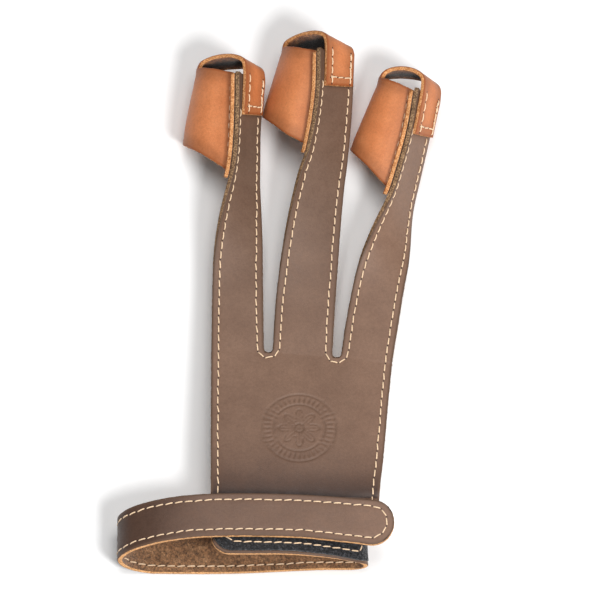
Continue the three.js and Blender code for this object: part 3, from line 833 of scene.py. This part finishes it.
def hook_patch_sheet():
    sheet = Sheet()
    offset = -(HAND_LEATHER / 2 + CLEARANCE + PATCH / 2)
    columns, rows = HOOK_PATCH_GRID
    width = np.linspace(-1, 1, rows) * (STRAP_WIDTH / 2 - PATCH_INSET)
    grid = []
    for distance in np.linspace(LOOP_LENGTH * HOOK_START, ROUND_END, columns):
        frames = loop_frames(np.full(rows, distance))
        grid.append(frames.place(width * frames.width / STRAP_WIDTH, offset))
    sheet.join(sheet.add(np.array(grid)).T)
    return sheet.finish()


# Thread: THREAD and HOLE are radii, which a stitch has wider than high and a hole longer than
# wide. VISIBLE is the share of a stitch that shows. A row is drawn ABOVE the leather and then laid
# on it. No stitch sinks more than PRESSED below the surface under the glove.
PITCH = 4.0
THREAD = 0.26
HOLE = 0.36
VISIBLE = 0.85
SLANT = 5.0
SLANT_SPREAD = 3
LIFT_SPREAD = 0.04
ABOVE = 0.3
PRESSED = 0.12
PLY_TURNS = 1.6
PLY_RELIEF = 0.13
RING = 10
STATIONS = 13
HOLE_RING = 8


class Bundle:
    """Many small meshes gathered into one object."""

    def __init__(self):
        self.points, self.faces, self.count = [], [], 0

    def add(self, points, faces):
        self.points.append(points)
        self.faces.append(faces + self.count)
        self.count += len(points)

    def make(self, name, material, slot):
        obj = make_object(name, np.concatenate(self.points), np.concatenate(self.faces), [material])
        return obj


def tube_faces(rings, sides):
    index = np.arange(rings * sides).reshape(rings, sides)
    turned = np.roll(index, -1, axis=1)
    return stacked(index[:-1], turned[:-1], turned[1:], index[1:]).reshape(-1, 4)


def thread_piece(start, end, lift, normal, slant):
    """One visible stitch: a plump two-ply thread that dips into the leather at both ends."""
    run = end - start
    length = np.linalg.norm(run)
    run = unit(run)
    side = unit(np.cross(normal, run))
    run = unit(run + side * math.tan(math.radians(slant)))
    side = unit(np.cross(normal, run))
    middle = (start + end) / 2
    share = np.linspace(-1, 1, STATIONS)[:, None]
    height = lift * (1 - np.abs(share) ** 3) - 0.5 * THREAD * np.abs(share) ** 3
    line = middle + run * share * length * VISIBLE / 2 + normal * height
    size = THREAD * np.maximum(1 - np.abs(share) ** 5, 0.05) ** 0.5
    turn = np.linspace(0, 2 * math.pi, RING, endpoint=False)[None, :]
    twist = share * PLY_TURNS * math.pi
    plump = size * (1 + PLY_RELIEF * np.cos(2 * (turn - twist)))
    wide, high = 1.08 * np.cos(turn), 0.9 * np.sin(turn)
    points = line[:, None, :] + side * column(plump * wide) + normal * column(plump * high)
    points[..., 2] = np.maximum(points[..., 2], -PRESSED)
    return points.reshape(-1, 3), tube_faces(STATIONS, RING)


def hole_piece(spot, normal, run):
    """Needle hole: a shallow dark cup whose lip lies on the leather."""
    side = unit(np.cross(normal, run))
    turn = np.linspace(0, 2 * math.pi, HOLE_RING, endpoint=False)[:, None]
    circle = run * np.cos(turn) * 1.25 + side * np.sin(turn) * 0.85
    rings = [spot + circle * HOLE + normal * 0.01, spot + circle * HOLE * 0.6 + normal * 0.05]
    bottom = np.array([[0, 1, 2, 3], [0, 3, 4, 7], [4, 5, 6, 7]]) + HOLE_RING
    return np.concatenate(rings), np.concatenate([tube_faces(2, HOLE_RING), bottom])


class Seam:
    """Stitches along lines that lie on a piece of leather."""

    def __init__(self, obj):
        mesh = obj.data
        points = np.zeros(len(mesh.vertices) * 3)
        mesh.vertices.foreach_get("co", points)
        self.tree = BVHTree.FromPolygons(
            (points.reshape(-1, 3) / MM - OFFSET).tolist(),
            [tuple(face.vertices) for face in mesh.polygons],
        )
        self.thread, self.holes = Bundle(), Bundle()

    def on_leather(self, spot):
        place, normal, _, _ = self.tree.find_nearest(spot.tolist())
        return np.array(place), np.array(normal)

    def sew(self, line, pitch=PITCH, lift=0.3, wander=0.12):
        """line is points just above the leather, and wander how far the needle strays."""
        run = run_along(line)
        count = max(int(round(run[-1] / pitch)), 1)
        marks = np.linspace(0, run[-1], count + 1)
        spots = stacked(*(np.interp(marks, run, line[:, k]) for k in range(3)))
        for spot in spots[1:-1]:
            spot += [random.gauss(0, wander * 0.6) for _ in range(3)]
        found = [self.on_leather(spot) for spot in spots]
        for (a, na), (b, nb) in zip(found, found[1:]):
            high = lift + random.uniform(-LIFT_SPREAD, LIFT_SPREAD)
            slant = SLANT + random.uniform(-SLANT_SPREAD, SLANT_SPREAD)
            self.thread.add(*thread_piece(a, b, high, unit(na + nb), slant))
        for k, (spot, normal) in enumerate(found):
            ahead = found[min(k + 1, count)][0] - found[max(k - 1, 0)][0]
            self.holes.add(*hole_piece(spot, normal, unit(ahead)))


def srgb(red, green, blue):
    """Linear colour of a screen colour given from 0 to 255."""
    parts = [value / 255 for value in (red, green, blue)]
    return tuple(p / 12.92 if p <= 0.04045 else ((p + 0.055) / 1.055) ** 2.4 for p in parts) + (1,)


class Surface:
    """A material, built a node at a time. A texture's size is that of its features, in mm."""

    def __init__(self, name, **shader):
        self.material = bpy.data.materials.new(name)
        self.material.use_nodes = True
        self.tree = self.material.node_tree
        self.shader = self.tree.nodes["Principled BSDF"]
        for key, value in shader.items():
            self.shader.inputs[key.replace("_", " ")].default_value = value
        self.place = self.node("ShaderNodeTexCoord").outputs["Object"]

    def node(self, kind, inputs=None, **settings):
        made = self.tree.nodes.new(kind)
        for key, value in settings.items():
            setattr(made, key, value)
        for key, value in (inputs or {}).items():
            if isinstance(value, bpy.types.NodeSocket):
                self.tree.links.new(value, made.inputs[key])
            else:
                made.inputs[key].default_value = value
        return made

    def noise(self, size, detail=3.0, roughness=0.55, stretch=None):
        inputs = {"Scale": 1 / (size * MM), "Detail": detail, "Roughness": roughness}
        place = self.place
        if stretch:
            place = self.node("ShaderNodeMapping", {"Vector": place, "Scale": stretch}).outputs[0]
        return self.node("ShaderNodeTexNoise", {"Vector": place, **inputs}).outputs[0]

    def cells(self, size, feature="DISTANCE_TO_EDGE"):
        inputs = {"Vector": self.place, "Scale": 1 / (size * MM)}
        return self.node("ShaderNodeTexVoronoi", inputs, feature=feature).outputs["Distance"]

    def ramp(self, value, *stops):
        """stops are (position, colour or number)."""
        made = self.node("ShaderNodeValToRGB", {0: value})
        points = made.color_ramp.elements
        while len(points) < len(stops):
            points.new(1.0)
        for point, (position, colour) in zip(points, stops):
            point.position = position
            point.color = colour if isinstance(colour, tuple) else (colour, colour, colour, 1)
        return made.outputs[0]

    def mix(self, factor, first, second, blend="MIX"):
        made = self.node("ShaderNodeMix", {0: factor, 6: first, 7: second},
                         data_type="RGBA", blend_type=blend)
        return made.outputs[2]

    def times(self, colour, shade, share=1.0):
        """The colour times a shade, in full or by a share of it."""
        return self.mix(share, colour, shade, "MULTIPLY")

    def attribute(self, name):
        return self.node("ShaderNodeAttribute", attribute_name=name).outputs["Fac"]

    def between(self, value, low, high):
        """0 up to the low value, 1 from the high one on."""
        inputs = {0: value, 1: low, 2: high}
        return self.node("ShaderNodeMapRange", inputs, clamp=True).outputs[0]

    def inside(self, low, high):
        """0 at low mm from the cut edge, 1 at high mm and beyond."""
        return self.between(self.attribute("inside"), low, high)

    def along(self, axis, low, high):
        """0 up to low mm on the glove's own X or Y, 1 from high mm on."""
        place = self.node("ShaderNodeSeparateXYZ", {0: self.place}).outputs[axis]
        zero = OFFSET["XY".index(axis)]
        return self.between(place, (low + zero) * MM, (high + zero) * MM)

    def bump(self, height, depth, normal=None, strength=1.0):
        """depth is the height of the relief in mm."""
        inputs = {"Height": height, "Distance": depth * MM, "Strength": strength}
        if normal is not None:
            inputs["Normal"] = normal
        return self.node("ShaderNodeBump", inputs).outputs[0]

    def finish(self, colour=None, roughness=None, normal=None):
        for key, value in (("Base Color", colour), ("Roughness", roughness), ("Normal", normal)):
            if value is not None:
                self.tree.links.new(value, self.shader.inputs[key])
        return self.material


def warm(*stops):
    """Stops of a ramp of painted shade on leather: like a dark dye, it keeps more red than green
    and blue.
    """
    return [(position, (value, value ** 1.12, value ** 1.16, 1)) for position, value in stops]


# Along the hand, where the panel comes out from under the strap and where its cut edge, which is
# raw at the wrist, starts to turn to its own dye.
PANEL_FROM = 24
WRIST_DYE_END = 27
GRAIN_SIZE = 0.62
PRESSED_DYE = 0.6


def grain_side(name, dark, main, light, edge, painted_shade=False, seam_shade=False):
    """Smooth top-grain leather: fine pebbled grain, pores, clouded dye and a burnished edge.

    The first flag paints shade over the panel just above the wrist strap, on the strap's left bend
    and on the index and middle straps near their stalls, and paints light on the ring strap. The
    second flag paints shade along the stalls' seams and edges.
    """
    surface = Surface(name, Specular_IOR_Level=0.3, Coat_Weight=0.03, Coat_Roughness=0.35)
    clouds = surface.noise(14, 6, 0.72)
    dye = surface.ramp(clouds, (0.22, dark), (0.5, main), (0.78, light))
    speck = surface.ramp(surface.noise(1.1, 5, 0.7), (0.35, 0.86), (0.6, 1.0))
    dye = surface.times(dye, speck)
    pores = surface.ramp(surface.cells(GRAIN_SIZE), (0.0, 0.8), (0.16, 1.0))
    dye = surface.times(dye, pores, 0.55)
    if painted_shade:
        # Painted shade: the wrist strap's shadow on the panel just above it, and the shade of the
        # strap's left bend as it turns away from the light.
        wrist_shadow = surface.ramp(surface.along("Y", PANEL_FROM, 80), *warm(
            (0, 0.2), (0.05, 0.24), (0.14, 0.44), (0.24, 0.66), (0.43, 0.87), (1, 1.0)))
        bend_shade = surface.ramp(surface.along("X", -68, 34), *warm(
            (0, 0.38), (0.09, 0.4), (0.15, 0.46), (0.23, 0.58), (0.35, 0.72), (0.5, 0.73),
            (0.82, 0.82), (1, 0.88)))
        on_panel = surface.along("Y", PANEL_FROM - 0.1, PANEL_FROM + 0.1)
        dye = surface.times(dye, surface.mix(on_panel, bend_shade, wrist_shadow))
        # Painted shade on the index and middle straps toward their stalls, which shade them, and
        # painted light on the ring strap, which faces the light.
        tab_shade_and_light = surface.ramp(surface.along("Y", 85, 150), (0, 1.0), (1, 0.8))
        tab_shade_and_light = surface.mix(surface.along("X", 19, 25), tab_shade_and_light, (1.08, 1.08, 1.08, 1))
        dye = surface.times(dye, tab_shade_and_light)
    # Painted shade in the valleys beside the stall seams; the same mask also darkens the stalls'
    # mouth and tip edges.
    if seam_shade:
        dye = surface.times(dye, surface.ramp(
            surface.inside(0.0, 9.0), (0, 0.62), (0.3, 0.68), (0.62, 0.9), (1, 1.0)))
    dye = surface.mix(surface.inside(0.0, 1.3), edge, dye)
    pressed = {0: surface.attribute("pressed"), 1: PRESSED_DYE}
    pressed = surface.node("ShaderNodeMath", pressed, operation="MULTIPLY").outputs[0]
    dye = surface.mix(pressed, dye, edge)
    rough = surface.ramp(surface.noise(3.5, 4), (0.25, 0.42), (0.75, 0.58))
    pebble = surface.ramp(surface.cells(GRAIN_SIZE), (0.0, 0.0), (0.3, 1.0))
    normal = surface.bump(pebble, 0.05, strength=0.55)
    normal = surface.bump(surface.noise(0.35, 4), 0.03, normal, 0.6)
    normal = surface.bump(surface.noise(7, 3), 0.25, normal, 0.35)
    return surface.finish(dye, rough, normal)


def flesh_side(name, dark, main, light, deep_shade, reach):
    """Suede: short brushed fibres. Over the reach in from the edge it turns to a painted shade
    colour: near black inside the stalls, milder on the hand.
    """
    surface = Surface(name, Specular_IOR_Level=0.15, Sheen_Weight=0.25, Sheen_Roughness=0.6)
    clouds = surface.ramp(surface.noise(3.5, 5, 0.75), (0.3, dark), (0.5, main), (0.7, light))
    fibres = surface.noise(0.8, 6, 0.85, (1, 0.8, 1))
    flecks = surface.ramp(fibres, (0.41, 0.28), (0.5, 0.9), (0.59, 1.6))
    dye = surface.times(clouds, flecks)
    dye = surface.mix(surface.inside(*reach), dye, deep_shade)
    normal = surface.bump(fibres, 0.5, strength=1.0)
    normal = surface.bump(surface.noise(2.6, 4, 0.7), 0.6, normal, 0.6)
    return surface.finish(dye, surface.ramp(fibres, (0.3, 0.95), (0.8, 0.82)), normal)


def cut_side(name, dark, main, light, wrist=None):
    """Cut edge: packed fibres with dark pits and pale ends. wrist is its dye at the wrist end."""
    surface = Surface(name, Specular_IOR_Level=0.2)
    fibres = surface.noise(0.6, 5, 0.8)
    dye = surface.ramp(fibres, (0.36, dark), (0.5, main), (0.64, light))
    if wrist:
        raw = surface.ramp(fibres, *zip((0.38, 0.5, 0.62), wrist))
        dye = surface.mix(surface.along("Y", WRIST_DYE_END, WRIST_DYE_END + 6), raw, dye)
    dye = surface.times(dye, surface.ramp(surface.noise(6, 3), (0.3, 0.82), (0.7, 1.08)))
    normal = surface.bump(fibres, 0.2, strength=0.9)
    return surface.finish(dye, surface.ramp(fibres, (0.3, 0.85), (0.8, 0.65)), normal)


def napped(name, dark, main, light):
    """Black hook-and-loop cloth with a short matted nap."""
    surface = Surface(name, Specular_IOR_Level=0.2, Sheen_Weight=0.35, Sheen_Roughness=0.5)
    loops = surface.noise(0.9, 5, 0.8)
    dye = surface.ramp(loops, (0.42, dark), (0.54, main), (0.64, light))
    normal = surface.bump(loops, 0.5, strength=1.0)
    normal = surface.bump(surface.cells(1.1, "F1"), 0.4, normal, 0.5)
    return surface.finish(dye, surface.ramp(loops, (0.3, 0.95), (0.8, 0.8)), normal)


def spun(name, dark, main):
    """Waxed thread of two twisted plies."""
    surface = Surface(name, Specular_IOR_Level=0.4, Sheen_Weight=0.1)
    fibres = surface.noise(0.18, 4, 0.7)
    dye = surface.ramp(fibres, (0.3, dark), (0.6, main))
    dye = surface.times(dye, surface.ramp(surface.noise(5, 2), (0.3, 0.86), (0.7, 1.0)))
    return surface.finish(dye, surface.ramp(fibres, (0.3, 0.6), (0.8, 0.42)),
                          surface.bump(fibres, 0.06, strength=0.8))


# The hand's grain carries painted shade over the wrist, on the strap's left bend and on two finger
# straps, and painted light on the ring strap.
hand_grain = grain_side(
    "hand_grain", srgb(112, 85, 69), srgb(123, 95, 78), srgb(133, 104, 86), srgb(90, 67, 52),
    painted_shade=True,
)
hand_flesh = flesh_side(
    "hand_suede", srgb(108, 74, 47), srgb(136, 97, 64), srgb(166, 125, 88), srgb(98, 67, 42),
    (20, 60),
)
hand_cut = cut_side(
    "hand_cut_edge", srgb(56, 39, 27), srgb(118, 89, 64), srgb(196, 160, 120),
    (srgb(150, 100, 58), srgb(216, 160, 106), srgb(240, 190, 138)),
)
# The stalls' grain carries painted shade along its seams and edges.
stall_grain = grain_side(
    "stall_grain", srgb(200, 118, 70), srgb(213, 131, 81), srgb(222, 143, 93), srgb(150, 82, 42),
    seam_shade=True,
)
# The near-black last colour is painted shade inside the stalls' tubes; the suede near the rim keeps
# its own orange-brown.
stall_flesh = flesh_side(
    "stall_suede", srgb(96, 52, 22), srgb(156, 94, 46), srgb(204, 140, 82), srgb(14, 6, 2),
    (0.4, 4.5),
)
stall_cut = cut_side("stall_cut_edge", srgb(124, 70, 34), srgb(210, 142, 86), srgb(246, 198, 146))
patch_nap = napped("patch_nap", srgb(9, 9, 11), srgb(33, 33, 36), srgb(74, 75, 80))
thread = spun("thread", srgb(214, 178, 138), srgb(246, 216, 182))
needle_hole = spun("needle_hole", srgb(44, 28, 20), srgb(62, 43, 31))


hand_materials = [hand_grain, hand_flesh, hand_cut]
hand = leather("hand_leather", hand_sheet(), HAND_LEATHER, hand_materials, hand_relief)
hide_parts("back_panel", "wrist_strap")

stall_materials = [stall_grain, stall_flesh, stall_cut]
stalls = []
for f, finger in enumerate(FINGERS):
    stall = leather(f"{finger}_stall", stall_sheet(f), STALL_LEATHER, stall_materials, stall_relief,
                    ragged=0.09)
    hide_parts(f"stall_{finger}")
    stalls.append(stall)

patch_materials = [patch_nap, patch_nap, patch_nap]
loops = leather("loop_cloth", loop_patch_sheet(), PATCH, patch_materials, ragged=0.12)
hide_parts("loop_patch")
hooks = leather("hook_cloth", hook_patch_sheet(), PATCH, patch_materials, ragged=0.1)
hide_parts("hook_patch")


# Arcs of the rows round a slot's end and round the strap's end, with their number of points, and
# a stall's seams: their sections, how far up they run, and the steps that read their slope.
SLOT_ARC = (186, 354, 14)
END_ARC = (84, -84, 30)
SEAM_SECTIONS = (1 / 14, 13 / 14)
SEAM_RISE = np.linspace(0.035, 0.965, 40)
SECTION_STEP = 0.004
RISE_STEP = 0.01


def each_mm(start, end):
    return np.linspace(start, end, int(abs(end - start)) + 2)


def strap_line(f, side, start, end):
    """Middle-surface points and normals along a strap's stitched row."""
    distance = each_mm(start, end)
    frames, left, right = strap_edges(f, distance)
    p = left + STITCH_MARGIN if side < 0 else right - STITCH_MARGIN
    return strap_point(f, distance, p), frames.face


def slot_line(f):
    """Round the end of the slot between finger f and the next one."""
    _, _, right = strap_edges(f, SLOT_RADIUS)
    _, left, _ = strap_edges(f + 1, SLOT_RADIUS)
    centre = (strap_point(f, SLOT_RADIUS, right) + strap_point(f + 1, SLOT_RADIUS, left)) / 2
    turn = np.radians(np.linspace(*SLOT_ARC))
    ahead = np.array([-CROTCH_ROW[1], CROTCH_ROW[0], 0])
    radius = SLOT_RADIUS + STITCH_MARGIN
    points = (centre + column(radius * np.cos(turn)) * CROTCH_ROW
              + column(radius * np.sin(turn)) * ahead)
    return points, np.tile([0.0, 0.0, 1.0], (len(turn), 1))


def loop_line(across, start, end):
    """Along the wrist strap, at across from its middle as a share of the stitched half width."""
    frames = loop_frames(each_mm(start, end))
    return frames.place(across * (frames.width / 2 - STITCH_MARGIN)), frames.face


def loop_end():
    """Round the strap's end, from its upper row to its lower one."""
    turn = np.radians(np.linspace(*END_ARC))
    frames = loop_frames(ROUND_END + (STRAP_WIDTH / 2 - STITCH_MARGIN) * np.cos(turn))
    return frames.place(np.sin(turn) * (frames.width / 2 - STITCH_MARGIN)), frames.face


def stall_line(f, section):
    """Along a stall's seam, which lies at one section."""
    at = lambda u, v: stall_point(f, section + u, SEAM_RISE + v)
    du = at(SECTION_STEP, 0) - at(-SECTION_STEP, 0)
    dv = at(0, RISE_STEP) - at(0, -RISE_STEP)
    return at(0, 0), unit(np.cross(dv, du))


def joined(*lines):
    return tuple(np.concatenate(parts) for parts in zip(*lines))


def sew_sides(seam, line, thickness, sides=(1, -1), **how):
    points, normals = line
    for side in sides:
        seam.sew(points + side * (thickness / 2 + ABOVE) * normals, **how)


strap_top = [length - TAB_LENGTH + 1 for length in FINGER_LENGTH]
edge_row = STRAP_WIDTH - STITCH_MARGIN
hand_seam = Seam(hand)
palm = np.linspace(CORNER_RADIUS + 1, PALM_LENGTH, 80)
sew_sides(hand_seam, joined(
    panel_line(panel_edge(LEFT, palm) + STITCH_MARGIN, palm),
    strap_line(0, -1, 1, strap_top[0]),
), HAND_LEATHER)
for f in range(2):
    sew_sides(hand_seam, joined(
        strap_line(f, 1, strap_top[f], SLOT_RADIUS + 0.5),
        slot_line(f),
        strap_line(f + 1, -1, SLOT_RADIUS + 0.5, strap_top[f + 1]),
    ), HAND_LEATHER)
palm = np.linspace(PALM_LENGTH, edge_row, 70)
side_row = panel_edge(RIGHT, palm) - STITCH_MARGIN
sew_sides(hand_seam, joined(
    strap_line(2, 1, strap_top[2], 1),
    panel_line(side_row, palm),
    panel_line(np.linspace(side_row[-1] + 1, joint_run(edge_row), 40), edge_row),
    loop_line(1, 1, ROUND_END),
    loop_end(),
    loop_line(-1, ROUND_END, 1),
    panel_line(np.linspace(joint_run(STITCH_MARGIN), TIGHT_START, 40), STITCH_MARGIN),
), HAND_LEATHER)

# Rows on a tab: across as a share of its width, rise along the band, and how it is sewn. The last
# two are back stitches at the lower row's ends.
TAB_ROW = 3.3
TAB_POINTS = 30
TAB_END = 1 - TAB_ROW / TAB_LENGTH / 4
TAB_ROWS = [
    ((-0.31, -0.31), (0.755, 0.992), {}),
    ((0.363, 0.363), (0.76, 0.992), {"pitch": 3.4, "wander": 0.3}),
    ((0.345, 0.38), (0.78, 0.96), {"pitch": 2.6, "wander": 0.35}),
    ((-0.33, 0.38), (TAB_END, TAB_END), {"pitch": 3.3, "wander": 0.15}),
    ((-0.36, -0.24), (TAB_END + 0.004, TAB_END - 0.004), {"pitch": 2.2}),
    ((0.29, 0.41), (TAB_END - 0.004, TAB_END + 0.004), {"pitch": 2.2}),
]
stall_seams = []
for f, stall in enumerate(stalls):
    seam = Seam(stall)
    for section in SEAM_SECTIONS:
        sew_sides(seam, stall_line(f, section), STALL_LEATHER, (1,))
    tip = strap_frames(f, np.array([FINGER_LENGTH[f] - TAB_LENGTH / 2])).face
    for shares, rises, how in TAB_ROWS:
        shares, rises = (np.linspace(*ends, TAB_POINTS) for ends in (shares, rises))
        points = band_point(f, shares, rises)
        sew_sides(seam, (points, tip), STALL_LEATHER, (1,), **how)
    stall_seams.append(seam)

# The loop cloth's own row, down its left side, along the wrist edge and up its right side.
CLOTH_MARGIN = 3.1
seam = Seam(loops)
left, right = panel_edges(0.0)
first = left + PATCH_INSET + CLOTH_MARGIN
final = right - PATCH_END - CLOTH_MARGIN
lower = PATCH_INSET + CLOTH_MARGIN
upper = STRAP_WIDTH - lower
run = np.linspace(first, final, 120)
along = wrist_cut(run - first) * 0.75 + lower
run = np.concatenate([np.full(12, first), run, np.full(14, final)])
along = np.concatenate([np.linspace(upper, along[0], 12), along, np.linspace(lower, upper, 14)])
across = (run - left) / (right - left)
seam.sew(patch_points(across, along, HAND_LEATHER / 2 + CLEARANCE + PATCH + ABOVE), lift=0.22)
seam.thread.make("loop_cloth_stitching", thread, "hook_and_loop")
seam.holes.make("loop_cloth_needle_holes", needle_hole, "hook_and_loop")

hand_seam.thread.make("hand_stitching", thread, "hand_leather")
hand_seam.holes.make("hand_needle_holes", needle_hole, "hand_leather")
for finger, seam in zip(FINGERS, stall_seams):
    seam.thread.make(f"{finger}_stitching", thread, "stall_leather")
    seam.holes.make(f"{finger}_needle_holes", needle_hole, "stall_leather")


# Floor, lights and camera, in metres.
FLOOR_REACH = 3.0
FLOOR_DROP = 0.0002
WORLD_LIGHT = 0.26
corners = [(-1, -1), (1, -1), (1, 1), (-1, 1)]
floor_mesh = bpy.data.meshes.new("floor")
floor_mesh.from_pydata(
    [(x * FLOOR_REACH, y * FLOOR_REACH, -FLOOR_DROP) for x, y in corners], [], [(0, 1, 2, 3)],
)
paper = Surface("floor_paper", Base_Color=(0.96, 0.96, 0.96, 1), Roughness=0.9)
floor_mesh.materials.append(paper.finish(normal=paper.bump(paper.noise(2.0, 4), 0.02)))
floor = put_in_scene("floor", floor_mesh)

world = bpy.data.worlds.new("studio")
bpy.context.scene.world = world
world.use_nodes = True
background = world.node_tree.nodes["Background"].inputs
background["Color"].default_value = (1, 1, 1, 1)
background["Strength"].default_value = WORLD_LIGHT


def softbox(name, place, size, power):
    """Round area light that points at the origin."""
    data = bpy.data.lights.new(name, "AREA")
    data.shape = "DISK"
    data.size = size
    data.energy = power
    light = put_in_scene(name, data)
    light.location = place
    light.rotation_euler = (-Vector(place)).to_track_quat("-Z", "Y").to_euler()


softbox("key", (0.5, -0.7, 1.0), 0.4, 14.5)
softbox("top", (0.05, 0.05, 1.3), 0.7, 8.5)

ELEVATION = math.radians(68)
DISTANCE = 4.0
FRAME_WIDTH = 0.2449
SENSOR = 36
TARGET = to_frame([0.0, 113.4, 15.0])
camera_data = bpy.data.cameras.new("camera")
camera_data.sensor_width = SENSOR
camera_data.lens = SENSOR * DISTANCE / FRAME_WIDTH
camera_data.clip_end = 20
camera = put_in_scene("camera", camera_data)
camera.location = (
    TARGET[0],
    TARGET[1] - DISTANCE * math.cos(ELEVATION),
    TARGET[2] + DISTANCE * math.sin(ELEVATION),
)
camera.rotation_euler = (math.pi / 2 - ELEVATION, 0, 0)
bpy.context.scene.camera = camera
bpy.context.scene.view_settings.view_transform = "Standard"
